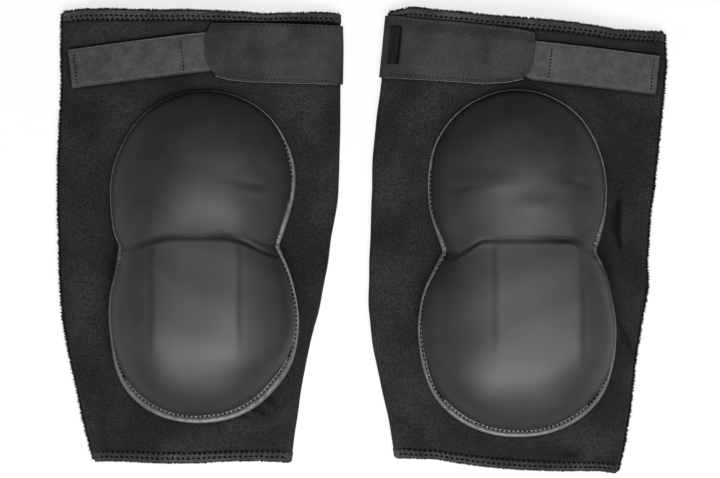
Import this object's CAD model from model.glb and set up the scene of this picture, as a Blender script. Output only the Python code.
# %% [markdown]
# # A pair of slip-on elbow pads
#
# Two elbow pads for sparring lie side by side on white, elbow side up. Each one is a stretch
# sleeve of knit-faced foam with a moulded two-lobe pad sewn on its front, a bound edge round
# the pad, and a hook-and-loop strap that runs in a knit tunnel round the upper arm.
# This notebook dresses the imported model: the frame says where every piece is and how it moves,
# and each cell below makes one piece of cloth, skin or thread around it.

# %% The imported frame
import math
import bpy
import numpy as np
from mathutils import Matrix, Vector


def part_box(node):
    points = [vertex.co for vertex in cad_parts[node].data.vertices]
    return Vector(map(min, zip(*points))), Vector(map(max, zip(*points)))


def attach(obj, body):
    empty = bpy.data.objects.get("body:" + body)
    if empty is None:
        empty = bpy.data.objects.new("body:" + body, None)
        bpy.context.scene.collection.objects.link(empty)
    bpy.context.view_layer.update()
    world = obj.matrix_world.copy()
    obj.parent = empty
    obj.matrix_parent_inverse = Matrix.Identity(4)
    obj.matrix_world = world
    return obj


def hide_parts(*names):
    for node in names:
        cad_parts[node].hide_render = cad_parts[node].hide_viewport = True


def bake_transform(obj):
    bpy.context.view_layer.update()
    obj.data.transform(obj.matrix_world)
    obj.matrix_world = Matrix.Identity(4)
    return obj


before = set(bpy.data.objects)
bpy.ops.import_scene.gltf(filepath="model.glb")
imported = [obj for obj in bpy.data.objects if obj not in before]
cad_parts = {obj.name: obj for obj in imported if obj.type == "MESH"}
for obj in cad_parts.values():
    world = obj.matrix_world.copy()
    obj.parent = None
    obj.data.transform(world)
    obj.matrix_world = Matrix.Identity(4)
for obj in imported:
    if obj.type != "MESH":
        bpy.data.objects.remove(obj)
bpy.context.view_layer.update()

# %% [markdown]
# ## Sizes
#
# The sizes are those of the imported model, in millimetres, because a maker thinks in millimetres.
# Every piece is drawn in its own pad's frame: x runs outward from the pad's centre line, y runs
# up the sleeve and z is height above the table. The left pad is the mirror image of the right.
# Where something differs between the two, the first number is the left one's.

# %% Sizes of the pair
LEFT, RIGHT = 0, 1
SIDES = ("left", "right")
ROOT = "sleeves_and_pads"
MM = 0.001
centre = ((-94.8, 1.31), (94.2, 1.31))
mirror = (-1, 1)

sleeve_top, sleeve_length, sleeve_width = (138.3, 133.2), 270.5, 170
cuff_width, end_slope = (118, 136), (0, 4.4)
taper_start, taper_power = (0.4, 0.48), 1.45
panel, arm_room, hem_depth, layer_gap = 3.0, 14.0, 6.0, 0.3
seam_z = panel + layer_gap
lean_rows = (
    ((0, 1.8), (0.35, 3), (0.55, 6), (0.7, 10), (0.85, 9.5), (1, 7.5)),
    ((0, 5.5), (0.25, -1.5), (0.5, -6), (0.67, -9.5), (0.85, -7.5), (1, -7)),
)

pad_top, pad_length = (90.3, 91), (204.5 * 0.973, 204.5 * 1.017)
upper_half = (109.5 * 1.02 / 2, 109.5 * 0.98 / 2)
lower_half = (116.5 * 0.985 / 2, 116.5 * 1.015 / 2)
waist_half = (90 * 1.02 / 2, 90 * 0.98 / 2)
middle_shift, middle_width = (4, 10), 52
upper_widest, lobe_meet, waist_at, lower_widest = 0.287, 0.44, 0.468, 0.697
backing, skin = 1.4, 1.2

mouth, strap_slope = ((-2.4, 113.4), (7.9, 108.1)), (6.7, 6.2)
tab_width, tab_length, tab_thick = 23.4, (80, 72), 1.8
tail_width, tail_back, tail_z, tail_thick = 18, 23, 20.6, 2.0
hinge_at, hook_start, hook_thick = 4, 14, 1.2
print("sleeve", sleeve_width, "x", sleeve_length, "mm, pads", [round(p) for p in pad_length])

# %% [markdown]
# ## Small tools
#
# A soft product is mostly sheets, so one helper turns a grid of points into quads and another
# puts the points of a piece into the frame in metres. The left pad is mirrored, which turns its
# faces inside out, so there the order of each face's corners is reversed.

# %% Grids and pieces
def grid_faces(rows, columns, wrap_rows=False, wrap_columns=False, first=0):
    """Quads over a grid of points, whose last row or column may join the first."""
    i, j = np.meshgrid(
        np.arange(rows if wrap_rows else rows - 1),
        np.arange(columns if wrap_columns else columns - 1), indexing="ij")
    down, on = (i + 1) % rows, (j + 1) % columns
    corners = (i * columns + j, down * columns + j, down * columns + on, i * columns + on)
    return first + np.stack(corners, -1).reshape(-1, 4)


def cord_faces(rows, around):
    """Faces of a cord: its side, turned outward, and a cap at each end."""
    faces = [list(f)[::-1] for f in grid_faces(rows, around, False, True)]
    return faces + [list(range(around)), list(range(around * (rows - 1), around * rows))[::-1]]


def to_frame(side, points):
    """Points of one pad in millimetres, as points of the frame in metres."""
    points = np.asarray(points, float).reshape(-1, 3)
    turned = points * (mirror[side], 1, 1) + (*centre[side], 0)
    return turned * MM


def make(name, side, points, faces, finish, smooth=True):
    """A mesh object from one pad's points, with its finish."""
    mesh = bpy.data.meshes.new(name)
    order = slice(None, None, mirror[side])
    mesh.from_pydata(to_frame(side, points).tolist(), [], [list(f)[order] for f in faces])
    mesh.polygons.foreach_set("use_smooth", [smooth] * len(mesh.polygons))
    mesh.materials.append(finish)
    thing = bpy.data.objects.new(name, mesh)
    bpy.context.scene.collection.objects.link(thing)
    return thing


def sew_on(thing, body=ROOT, replaces=()):
    """The piece rides on its body, and stands for its nodes of the frame."""
    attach(thing, body)
    if replaces:
        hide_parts(*replaces)
    print(f"{thing.name}: {len(thing.data.polygons)} faces on {body}")
    return thing


def table(rows):
    """A function that reads a table of (place, value) rows with straight lines between."""
    places, values = zip(*rows)
    return lambda t: np.interp(t, places, values)


def eased(t, rows):
    """A table's value at t with its corners rounded over."""
    read = table(rows)
    return (read(t - 0.08) + 2 * read(t) + read(t + 0.08)) / 4


def soft_step(low, high, x):
    """From 0 below low to 1 above high, with soft ends."""
    f = np.clip((x - low) / (high - low), 0, 1)
    return f * f * (3 - 2 * f)


def cos_sin(angle):
    """Cosine and sine of an angle in degrees."""
    return math.cos(math.radians(angle)), math.sin(math.radians(angle))


def full_turn(count):
    """Evenly spaced angles round a circle."""
    return np.arange(count) / count * math.tau


def unit(arrows):
    """Arrows of length 1 that point the same way."""
    return arrows / np.linalg.norm(arrows, axis=-1, keepdims=True)


# %% [markdown]
# ## Colour and nodes
#
# Colours are written as sRGB hex, as they are picked by eye, and one function turns them into
# the linear values that a shader works with. Another adds a node with its settings and links,
# so that each material below reads as a short list of what its surface is made of.

# %% Helpers for materials
def linear(code):
    """A linear RGBA colour from an sRGB hex code."""
    parts = [int(code[k:k + 2], 16) / 255 for k in (1, 3, 5)]
    return [c / 12.92 if c <= 0.04045 else ((c + 0.055) / 1.055) ** 2.4 for c in parts] + [1]


def add(finish, kind, settings=None, **links):
    """A node of one kind, with its settings, and links from other nodes' outputs."""
    node = finish.node_tree.nodes.new(kind)
    for name, value in (settings or {}).items():
        if name in node.inputs:
            node.inputs[name].default_value = value
        else:
            setattr(node, name, value)
    for name, source in links.items():
        finish.node_tree.links.new(source, node.inputs[name.replace("_", " ")])
    return node


def shades(finish, dark, light, fac, low=0.3, high=0.7):
    """A colour that wanders between two shades with a pattern."""
    ramp = add(finish, "ShaderNodeValToRGB", Fac=fac)
    for end, place, code in zip(ramp.color_ramp.elements, (low, high), (dark, light)):
        end.position, end.color = place, linear(code)
    return ramp.outputs["Color"]


def new_finish(name, roughness, ior, **sockets):
    """A material with a principled shader, which is returned with it."""
    finish = bpy.data.materials.new(name)
    finish.use_nodes = True
    shader = finish.node_tree.nodes["Principled BSDF"]
    shader.inputs["Roughness"].default_value = roughness
    shader.inputs["IOR"].default_value = ior
    for socket, value in sockets.items():
        shader.inputs[socket.replace("_", " ")].default_value = value
    return finish, shader


def paint(finish, shader, colour, heights=(), strength=0.5):
    """Links a colour, and bumps from (height, depth in mm) pairs, finest last."""
    finish.node_tree.links.new(colour, shader.inputs["Base Color"])
    normal = None
    for height, depth in heights:
        links = {"Height": height}
        if normal is not None:
            links["Normal"] = normal
        settings = {"Strength": strength, "Distance": depth * MM}
        bump = add(finish, "ShaderNodeBump", settings, **links)
        normal = bump.outputs["Normal"]
    if normal is not None:
        finish.node_tree.links.new(normal, shader.inputs["Normal"])


def speckle(finish, size, detail=2.0, rough=0.5):
    """Noise whose grains are about size millimetres across."""
    place = add(finish, "ShaderNodeTexCoord")
    settings = {"Scale": 1 / (size * MM), "Detail": detail, "Roughness": rough}
    noise = add(finish, "ShaderNodeTexNoise", settings, Vector=place.outputs["Object"])
    return noise.outputs["Fac"]


def ribs(finish, pitch, axis, lean=0.0):
    """Soft ribs across the object, pitch millimetres apart, leaning by some degrees."""
    place = add(finish, "ShaderNodeTexCoord")
    turned = add(finish, "ShaderNodeMapping", {"Rotation": (0, 0, math.radians(lean))},
                 Vector=place.outputs["Object"])
    # a wave at scale 1 has a rib every fifth of a unit or so
    scale = math.tau / 20 / (pitch * MM)
    settings = {"bands_direction": axis, "Scale": scale, "Distortion": 0.6,
                "Detail": 1.0, "Detail Scale": 2.0}
    wave = add(finish, "ShaderNodeTexWave", settings, Vector=turned.outputs["Vector"])
    return wave.outputs["Fac"]


# %% [markdown]
# ## Sleeve cloth
#
# The sleeve is a laminate: a soft foam sheet with a fine black nylon knit on its face. A knit
# scatters light in its loops, so it is dull, and its raised fibres catch a little light at
# grazing angles, which the shader's sheen gives. The real loops are about 0.6 mm apart, which
# is a pixel here, so they are drawn about twice as coarse. The hems are the same cloth turned
# in, with a nap raised by the needles, and so look a little greyer.

# %% Knit materials
# Worn patches are about this wide, and cloth is darker this close to what overhangs it, in mm
worn_patch, nook_reach = 34, 30


def knit(name, dark, light, grain=1.1, depth=0.3, fuzz=0.05, mirror_share=0.15):
    """A dull knit with loops of one grain size, in a colour that wanders a little."""
    finish, shader = new_finish(name, 0.85, 1.45, Sheen_Weight=fuzz, Sheen_Roughness=0.5,
                                Specular_IOR_Level=mirror_share)
    loops = speckle(finish, grain, 3.0, 0.7)
    thread = shades(finish, dark, light, loops, 0.34, 0.66)
    worn = shades(finish, "#b0b0b0", "#ffffff", speckle(finish, worn_patch, 3.0), 0.36, 0.64)
    nap = add(finish, "ShaderNodeMix", {"data_type": "RGBA", "blend_type": "MULTIPLY"})
    shade = add(finish, "ShaderNodeAmbientOcclusion", {"samples": 6, "Distance": nook_reach * MM})
    pressed = shades(finish, "#303030", "#ffffff", shade.outputs["AO"], 0.5, 0.98)
    both = add(finish, "ShaderNodeMix", {"data_type": "RGBA", "blend_type": "MULTIPLY"})
    link = finish.node_tree.links.new
    nap.inputs[0].default_value = both.inputs[0].default_value = 1
    link(thread, nap.inputs[6])
    link(worn, nap.inputs[7])
    link(nap.outputs[2], both.inputs[6])
    link(pressed, both.inputs[7])
    courses = ribs(finish, 0.9, "Y", 8)
    paint(finish, shader, both.outputs[2], [(courses, depth * 0.3), (loops, depth)])
    return finish


sleeve_knit = knit("black_nylon_knit_on_foam", "#0c0c0c", "#333233", 1.0, 0.25)
hem_cloth = knit("turned_knit_with_raised_nap", "#1c1c1d", "#505051", 0.9, 0.3)
tunnel_knit = knit("smooth_polyamide_knit", "#282728", "#3d3c3d", 0.9, 0.08, 0.08)
backing_cloth = knit("black_lining_cloth", "#0c0c0d", "#262627")
pile_fibre = knit("fuzzy_cut_pile", "#0c0c0d", "#28282a", 0.7, 0.1)
print("knits:", [m.name for m in bpy.data.materials if "knit" in m.name or "pile" in m.name])

# %% [markdown]
# ## Coated skin and piping
#
# The pad's face is polyurethane-coated cloth moulded over foam. The coat is one smooth skin
# with a leather-like grain too fine to see as lines, so it looks satin: broad soft highlights
# where it turns to the light, nearly black where it turns away. The piping round it is the same
# material with more gloss, folded over a cord, which gives the thin bright line at the edge.

# %% Skin, piping, foam
coated_skin, skin_shader = new_finish("satin_polyurethane_skin", 0.53, 1.5)
grain, cloud = speckle(coated_skin, 1.0, 3.0, 0.6), speckle(coated_skin, 12, 4.0, 0.6)
paint(coated_skin, skin_shader, shades(coated_skin, "#131214", "#1c1b1d", cloud),
      [(cloud, 0.2), (grain, 0.05)], 0.4)

glossy_piping, piping_shader = new_finish("glossy_polyurethane_piping", 0.42, 1.5)
paint(glossy_piping, piping_shader,
      shades(glossy_piping, "#424244", "#525254", speckle(glossy_piping, 2.4, 2.0, 0.5)),
      [(speckle(glossy_piping, 5.0, 1.0), 0.03)], 0.15)

pad_foam, foam_shader = new_finish("closed_cell_foam", 0.9, 1.45)
paint(pad_foam, foam_shader, shades(pad_foam, "#2e2f31", "#3c3d40", speckle(pad_foam, 1.5)),
      [(speckle(pad_foam, 1.0), 0.2)])
print("skin, piping and foam are ready")

# %% [markdown]
# ## Strap materials
#
# The tab is a woven polyester webbing, paler than the knit, with fine ribs across it. The thread
# is bonded nylon, dark and slightly shiny. The hook tape under the tab is moulded nylon, and
# the elastic has lengthwise ribs where rubber cords run between its threads.

# %% Webbing, thread, hooks
webbing, webbing_shader = new_finish("woven_polyester_webbing", 0.7, 1.5, Sheen_Weight=0.2)
weave = speckle(webbing, 7, 5.0, 0.85)
paint(webbing, webbing_shader, shades(webbing, "#121212", "#343434", weave, 0.36, 0.64),
      [(speckle(webbing, 8, 3.0), 0.9), (ribs(webbing, 1.2, "X", -7), 0.12), (weave, 0.15)])

dark_thread, thread_shader = new_finish("bonded_nylon_thread", 0.8, 1.53, Specular_IOR_Level=0.1)
thread_shader.inputs["Base Color"].default_value = linear("#030304")
grey_thread, grey_shader = new_finish("grey_overlock_thread", 0.6, 1.53)
paint(grey_thread, grey_shader,
      shades(grey_thread, "#343434", "#4c4c4b", speckle(grey_thread, 1.2)))

hook_plastic, hook_shader = new_finish("moulded_nylon_hooks", 0.4, 1.53)
hook_shader.inputs["Base Color"].default_value = linear("#141415")

rib_elastic, elastic_shader = new_finish("ribbed_elastic_band", 0.75, 1.5)
paint(rib_elastic, elastic_shader,
      shades(rib_elastic, "#1c1c1d", "#2c2c2d", speckle(rib_elastic, 1.0)),
      [(ribs(rib_elastic, 1.4, "Y"), 0.3)])
print("finishes:", len(bpy.data.materials))

# %% [markdown]
# ## Camera, floor and light
#
# The picture was taken straight from above with a long lens, so the two pads show no
# perspective to speak of. Nearly all the light is one large soft lamp from the forearm end, high
# up: the lower slopes of each lobe shine and their upper slopes fall to near black. Two faint
# lamps at the sides and one overhead only keep the edges from going black. The floor shows as
# plain white to the camera while it still keeps a soft shadow.

# %% Camera
image_size = (720, 478)
mm_per_pixel = 0.6
lens, sensor = 135, 36
pair_height, aim = 15, (-1.5, 2.7)
distance = image_size[0] * mm_per_pixel * lens / sensor + pair_height
camera_data = bpy.data.cameras.new("camera")
camera_data.lens, camera_data.sensor_width = lens, sensor
camera = bpy.data.objects.new("camera", camera_data)
camera.location = Vector((*aim, distance)) * MM
bpy.context.scene.collection.objects.link(camera)
bpy.context.scene.camera = camera
bpy.context.scene.view_settings.view_transform = "Standard"
print("camera", round(distance), "mm above the table")


# %% Lights and floor
def softbox(name, place, size, watts):
    """A rectangular soft lamp that points at the middle of the table."""
    lamp = bpy.data.lights.new(name, "AREA")
    lamp.shape, lamp.size, lamp.size_y, lamp.energy = "RECTANGLE", size[0], size[1], watts
    thing = bpy.data.objects.new(name, lamp)
    thing.location = place
    thing.rotation_mode = "QUATERNION"
    thing.rotation_quaternion = Vector(place).to_track_quat("Z", "Y")
    bpy.context.scene.collection.objects.link(thing)


softbox("forearm_softbox", (0.12, -0.6, 1.4), (1.2, 0.75), 40)
softbox("left_softbox", (-1.25, -0.25, 0.5), (0.9, 0.4), 3)
softbox("right_softbox", (1.25, -0.25, 0.5), (0.9, 0.4), 3)
softbox("overhead_softbox", (-0.2, 0.1, 1.9), (1.2, 1.2), 1.2)

# How bright the room is, and how much of the floor's white the camera gets from glow alone
room_light, glow_share = 0.065, 0.8
world = bpy.data.worlds.new("studio")
bpy.context.scene.world = world
world.use_nodes = True
world.node_tree.nodes["Background"].inputs["Color"].default_value = (1, 1, 1, 1)
world.node_tree.nodes["Background"].inputs["Strength"].default_value = room_light

paper, paper_shader = new_finish("white_paper_sweep", 0.9, 1.45)
paper_shader.inputs["Base Color"].default_value = linear("#d8d8d8")
seen = add(paper, "ShaderNodeLightPath")
share = add(paper, "ShaderNodeMath", {"operation": "MULTIPLY"})
share.inputs[1].default_value = glow_share
paper.node_tree.links.new(seen.outputs["Is Camera Ray"], share.inputs[0])
white = add(paper, "ShaderNodeEmission", {"Strength": 1.0})
mixed = add(paper, "ShaderNodeMixShader", Fac=share.outputs[0])
link = paper.node_tree.links.new
link(paper_shader.outputs[0], mixed.inputs[1])
link(white.outputs[0], mixed.inputs[2])
link(mixed.outputs[0], paper.node_tree.nodes["Material Output"].inputs["Surface"])

floor_mesh = bpy.data.meshes.new("floor")
reach = 3.0
corners = [(-reach, -reach, 0), (reach, -reach, 0), (reach, reach, 0), (-reach, reach, 0)]
floor_mesh.from_pydata(corners, [], [(0, 1, 2, 3)])
floor_mesh.materials.append(paper)
floor = bpy.data.objects.new("floor", floor_mesh)
floor.location.z = -0.0002
bpy.context.scene.collection.objects.link(floor)
print("four soft lamps, a dim world and a white floor")

# %% [markdown]
# ## The shape of the sleeve
#
# A sleeve that lies flat is a tube pressed together: nearly flat underneath, a low arch on top
# where the arm's room is, and round where the cloth turns at both edges. Its width follows the
# arm, so it tapers from the elbow down to the cuff. All layers that lie on it ask the same
# function for its height, so that nothing floats or sinks. Real cloth is never quite even, so
# its edges wander by a millimetre or two, and long shallow swells and the folds beside the pads
# are added to the arch.

# %% Plan of the sleeve
edge_inner = (
    (-1.5, -0.9, -1.0, -0.8, -0.9, -0.8, -1.6, -0.4, 0.3, -0.8, -1.1, -0.5, 0.4),
    (-1.6, -1.1, -1.0, -0.2, 0.2, -0.8, -1.5, -0.8, 0.6, 1.1, 0.3, -0.8, -0.4),
)
edge_outer = (
    (-0.8, -0.6, -1.2, -0.4, 0.2, -0.5, -0.6, -0.1, 0.1, -0.5, -0.8, 0.0, 0.2),
    (-2.0, 0.1, 0.5, 0.2, -0.4, -1.8, -1.7, 1.4, 0.6, -0.4, -0.3, -0.6, -1.6),
)
end_upper = (
    (-1.1, -0.8, -1.4, -2.2, -1.2, -0.4, 0.1, 0.1, 0.4, 1.2, 1.3, 0.3),
    (-0.7, 2.5, 1.8, 1.4, 0.6, 0.6, 0.5, 0.3, -0.6, -1.9, -1.2, -0.3),
)
end_lower = (
    (1.2, 0.1, -0.6, -0.7, -0.4, 0.3, 0.5, 0.5, 0.2, -0.1, -0.1, 0.4),
    (-1.0, -1.9, -2.8, -1.8, -1.1, -0.8, -0.8, -1.2, -1.6, -2.4, -3.0, -2.2),
)


def wander(values, f):
    """A row of evenly spaced offsets read at fraction f with a smooth curve."""
    at = np.clip(f, 0, 1) * (len(values) - 1)
    low = np.clip(np.floor(at).astype(int), 0, len(values) - 2)
    read = np.asarray(values, float)
    return read[low] + (read[low + 1] - read[low]) * soft_step(0, 1, at - low)


def end_tilt(side):
    """How far the sleeve's ends drop for each millimetre outward."""
    return math.tan(math.radians(end_slope[side]))


def sleeve_half(side, t):
    """Half the sleeve's flat width at fraction t down it."""
    taper = (np.maximum(0, t - taper_start[side]) / (1 - taper_start[side])) ** taper_power
    return (sleeve_width - (sleeve_width - cuff_width[side]) * taper) / 2


def sleeve_plan(side, t, u):
    """Plan point at fraction t down the sleeve and u across it, from -1 to 1."""
    t, u = np.broadcast_arrays(np.asarray(t, float), np.asarray(u, float))
    aside = np.where(u < 0, -wander(edge_inner[side], t), wander(edge_outer[side], t))
    aside = aside * np.abs(u) ** 3
    x = eased(t, lean_rows[side]) + u * sleeve_half(side, t) + aside
    y = sleeve_top[side] - sleeve_length * t - end_tilt(side) * x
    y = y + wander(end_upper[side], (u + 1) / 2) * np.exp(-t / 0.05)
    return x, y - wander(end_lower[side], (u + 1) / 2) * np.exp((t - 1) / 0.05)


def sleeve_t(side, x, y):
    """Fraction down the sleeve at a plan point."""
    return (sleeve_top[side] - y - end_tilt(side) * x) / sleeve_length


def sleeve_u(side, x, y):
    """Fraction across the sleeve at a plan point, from -1 to 1."""
    t = sleeve_t(side, x, y)
    return np.clip((x - eased(t, lean_rows[side])) / sleeve_half(side, t), -1, 1)


print("cuffs", cuff_width, "mm wide")

# %% Height of the sleeve
folds = (
    ((-52, -98, 16, 5, 1.6, -40), (66, -92, 18, 5, 1.4, 50), (-66, 6, 22, 6, 1.2, 80)),
    ((60, 9, 22, 5, 2.2, 82), (68, -66, 16, 6, 1.8, 60), (-64, -100, 16, 5, 1.4, -45)),
)
# Smaller creases, which only the cloth has: x, y, length, width, height, angle
creases = (
    ((-38, -94, 8, 1.6, -3.4, 45), (-33, -101, 9, 1.7, -3.2, 25), (-43, -90, 6, 1.4, 1.2, 50),
     (-26, -104, 6, 1.4, -1.3, 12), (62, 40, 26, 7, -1.2, 80), (-70, 50, 26, 8, -1.0, 95),
     (70, -40, 24, 7, 1.0, 80), (-20, 92, 14, 4, -0.7, 20), (50, -70, 30, 6, -1.2, 60)),
    ((58, 16, 10, 1.7, -4.4, 86), (59, 1, 9, 1.7, -4.2, 101), (57, 12, 22, 5, -1.4, 86),
     (62, 9, 14, 2.0, 1.6, 88), (65, -61, 12, 1.8, -5.0, -62), (69, -69, 8, 1.8, -4.5, -60),
     (69, -60, 10, 2.4, 1.6, -60), (30, -126, 7, 3.6, -3.6, 5),
     (-70, 30, 26, 8, -1.1, 85), (-62, -60, 26, 8, 1.1, 95), (-58, -20, 40, 5, -1.2, 95)),
)


def bump_sum(rows, x, y):
    """Sum of long soft ridges, each with its place, length, width, height and angle."""
    total = 0
    for fx, fy, length, width, height, angle in rows:
        c, s = cos_sin(angle)
        along = ((x - fx) * c + (y - fy) * s) / length
        across = ((y - fy) * c - (x - fx) * s) / width
        total = total + height * np.exp(-along * along - across * across)
    return total


def swells(side, x, y):
    """Long shallow unevenness of cloth that has been worn and laid down."""
    lag = 2.1 * side
    return 0.35 * np.sin(x / 17 + y / 31 + lag) * np.sin(y / 23 - x / 40 + 1.3 * lag) \
        + 0.18 * np.sin(x / 7.5 - y / 11 + lag) * np.sin(y / 9 + x / 19)


def pad_bed(side, x, y):
    """Height of the sleeve's front without its small creases, on which the stiff pad lies."""
    u = sleeve_u(side, x, y)
    rise = bump_sum(folds[side], x, y) + swells(side, x, y)
    return seam_z + panel + arm_room * (1 - u * u) + rise * (1 - u ** 6)


def front_top(side, x, y):
    """Height of the sleeve's front at a plan point, in millimetres."""
    return pad_bed(side, x, y) + bump_sum(creases[side], x, y) * (1 - sleeve_u(side, x, y) ** 6)


print("crown of the sleeve", round(float(front_top(LEFT, 6, 0)), 1), "mm")

# %% [markdown]
# ## The sleeve's cloth
#
# The tube is drawn as closed sections, one after another down the sleeve: over the arch, round
# the outer edge, back underneath and round the inner edge. The same section drawn 3 mm further
# in gives the inside, and the two are joined at both ends, so the sleeve is hollow and open for
# the arm and its cloth has a real thickness at the mouths.

# %% Sections of the tube
top_count, arc_count, under_count = 132, 8, 44
edge_round = (seam_z + panel) / 2


def section(side, t, out=0.0, count=top_count, relief=None):
    """One closed section of the tube at fraction t, moved outward by some millimetres."""
    half = float(sleeve_half(side, t))
    wider = min(out, 0.4)
    r = max(0.15, edge_round + wider)
    reach = (half + wider - r) / half
    turn = np.radians(np.linspace(90, -90, arc_count + 2)[1:-1])
    top_u = np.linspace(-reach, reach, count)
    under_u = np.linspace(reach, -reach, under_count)
    u = np.concatenate([top_u, reach + r * np.cos(turn) / half,
                        under_u, -reach - r * np.cos(turn[::-1]) / half])
    x, y = sleeve_plan(side, t, u)
    floor_z = max(0.0, -out)
    top = np.maximum(front_top(side, x[:count], y[:count]) + out, floor_z + 0.3)
    if relief is not None:
        top = top + relief(top_u * half)
    outer_z = (top[-1] + floor_z) / 2 + (top[-1] - floor_z) / 2 * np.sin(turn)
    inner_z = (top[0] + floor_z) / 2 + (top[0] - floor_z) / 2 * np.sin(turn[::-1])
    z = np.concatenate([top, outer_z, np.full(under_count, floor_z), inner_z])
    return np.stack([x, y, z], -1)


# %% Sleeves
start_t = (hem_depth + 0.1) / sleeve_length
outer_rows, inner_rows = 176, 30
for side in (LEFT, RIGHT):
    outside = [section(side, t) for t in np.linspace(start_t, 1 - start_t, outer_rows)]
    inside = [section(side, t, -panel) for t in np.linspace(1 - start_t, start_t, inner_rows)]
    loops = np.array(outside + inside)
    sleeve = make(f"{SIDES[side]}_sleeve", side, loops,
                  grid_faces(len(loops), loops.shape[1], True, True), sleeve_knit)
    sew_on(sleeve,
           replaces=[f"{SIDES[side]}_front_panel", f"{SIDES[side]}_back_panel"])

# %% [markdown]
# ## Hems
#
# Each end of the sleeve is turned in and sewn down with a coverstitch, two rows of thread that
# pull the cloth in at every needle hole. The hem is one folded band: its profile runs over the
# face, round the fold and back inside. The face dips at each needle hole along the two rows, and a
# short length of dark thread lies in each dip.

# %% Hem bands
# Threads are given as (length, width) in millimetres, and hems have two rows of them
stitch_pitch, hem_thread, hem_thread_height = 3.1, (1.35, 1.1), 1.0
stitch_rows = ((3.5, 5.75), (2.8, 5.75))
hem_count = 420
# The dip at a needle hole is this deep and long, and the groove along the row this deep and wide
dip_deep, dip_long, row_deep, row_wide = 0.9, 0.7, 0.2, 0.6


def needle_dips(depth, phase, rows):
    """How far the face sinks at the needle holes, for one line of the hem's profile."""
    def relief(along):
        nearest = (along / stitch_pitch + phase) % 1 - 0.5
        sunk = 0
        for k, row in enumerate(rows):
            off = (depth - row) / row_wide
            near = ((nearest + 0.25 * k) * stitch_pitch) / dip_long
            sunk = sunk - dip_deep * np.exp(-near * near - off * off) \
                - row_deep * np.exp(-off * off)
        return sunk
    return relief


def hem_band(side, lower):
    """Sections along the hem's folded profile, from the sleeve's face round to its inside."""
    face = [(d, 0.25 + 0.45 * math.sin(math.pi * min(1, d / 5.9)))
            for d in np.linspace(6.0, 0.6, 19)]
    fold = [(0.25, -0.1), (0.02, -0.8), (0.0, -1.8), (0.05, -2.8), (0.3, -3.6)]
    inside = [(1.2, -4.0), (3.5, -4.0), (5.6, -4.0), (6.0, -3.5)]
    loops = []
    for depth, out in face + fold + inside:
        t = depth / sleeve_length
        t = 1 - t if lower else t
        relief = needle_dips(depth, 0.3 * side, stitch_rows[lower]) if out > 0.05 else None
        loops.append(section(side, t, out, hem_count, relief))
    return np.array(loops)


for side in (LEFT, RIGHT):
    for lower in (False, True):
        loops = hem_band(side, lower)
        faces = grid_faces(len(loops), loops.shape[1], True, True)
        name = f"{SIDES[side]}_{'bottom' if lower else 'top'}_hem"
        hem = make(f"{name}_cloth", side, loops, faces[:, ::-1] if lower else faces, hem_cloth)
        sew_on(hem, replaces=[name])

# %% [markdown]
# ## Threads and fuzz
#
# A stitch is a short length of thread that dives into the cloth at both ends, so each one is
# drawn as a small long bead half sunk in the surface. Fuzz along cut edges is a fringe of short
# bent tapers that lean every way. Both are made by the hundred from one shape, moved and
# turned with array arithmetic, and joined into one mesh for each seam.

# %% Stitches
def bead_shape(around=6, rings=5):
    """A unit bead along x: its points and faces."""
    along = -np.cos(np.linspace(0, math.pi, rings + 2))[1:-1]
    turn = full_turn(around)
    ring = lambda a, w: (a, math.sqrt(1 - a * a) * math.cos(w), math.sqrt(1 - a * a) * math.sin(w))
    points = [(-1, 0, 0)] + [ring(a, w) for a in along for w in turn] + [(1, 0, 0)]
    faces = [list(q)[::-1] for q in grid_faces(rings, around, False, True, 1)]
    faces += [[0, 1 + (k + 1) % around, 1 + k] for k in range(around)]
    base = 1 + (rings - 1) * around
    faces += [[len(points) - 1, base + k, base + (k + 1) % around] for k in range(around)]
    return np.array(points, float), faces


bead_points, bead_faces = bead_shape()


def stitches(name, side, places, headings, length, width, finish, slot, body=ROOT, height=None):
    """One mesh of stitches: places are their middles, headings the way that each one runs."""
    places, headings = np.asarray(places, float), np.asarray(headings, float)
    along = unit(headings)
    across = unit(np.cross((0, 0, 1.0), along))
    up = np.cross(along, across)
    axes = np.stack([along * length / 2, across * width / 2, up * (height or width) / 2], 1)
    points = (places[:, None, :] + np.einsum("pk,nkd->npd", bead_points, axes)).reshape(-1, 3)
    faces = [[i + n * len(bead_points) for i in f] for n in range(len(places)) for f in bead_faces]
    return sew_on(make(name, side, points, faces, finish), body)


def along_path(points, pitch):
    """Evenly spaced places on a path, and the way that it runs there."""
    points = np.asarray(points, float)
    steps = np.linalg.norm(np.diff(points, axis=0), axis=1)
    total = np.concatenate([[0], np.cumsum(steps)])
    at = np.arange(pitch / 2, total[-1], pitch)
    read = lambda s: np.stack([np.interp(s, total, points[:, k]) for k in range(3)], -1)
    return read(at), read(at + 0.2) - read(at - 0.2)


for side in (LEFT, RIGHT):
    for lower in (False, True):
        places, headings = [], []
        for k, row in enumerate(stitch_rows[lower]):
            t = row / sleeve_length
            t = 1 - t if lower else t
            half = float(sleeve_half(side, t))
            first = -(0.3 * side) % 1 + 0.5 - 0.25 * k
            along = (np.arange(-40, 40) + first) * stitch_pitch
            along = along[np.abs(along) < half - 4]
            x, y = sleeve_plan(side, t, along / half)
            z = front_top(side, x, y) + 0.3
            spot = np.stack([x, y, z], -1)
            headings.append(np.gradient(spot, axis=0))
            places.append(spot + np.random.default_rng(5 + k).normal(0, 0.12, spot.shape))
        name = f"{SIDES[side]}_{'bottom' if lower else 'top'}_coverstitch"
        stitches(name, side, np.concatenate(places), np.concatenate(headings), *hem_thread,
                 dark_thread, "hem_knit", height=hem_thread_height)


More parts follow.
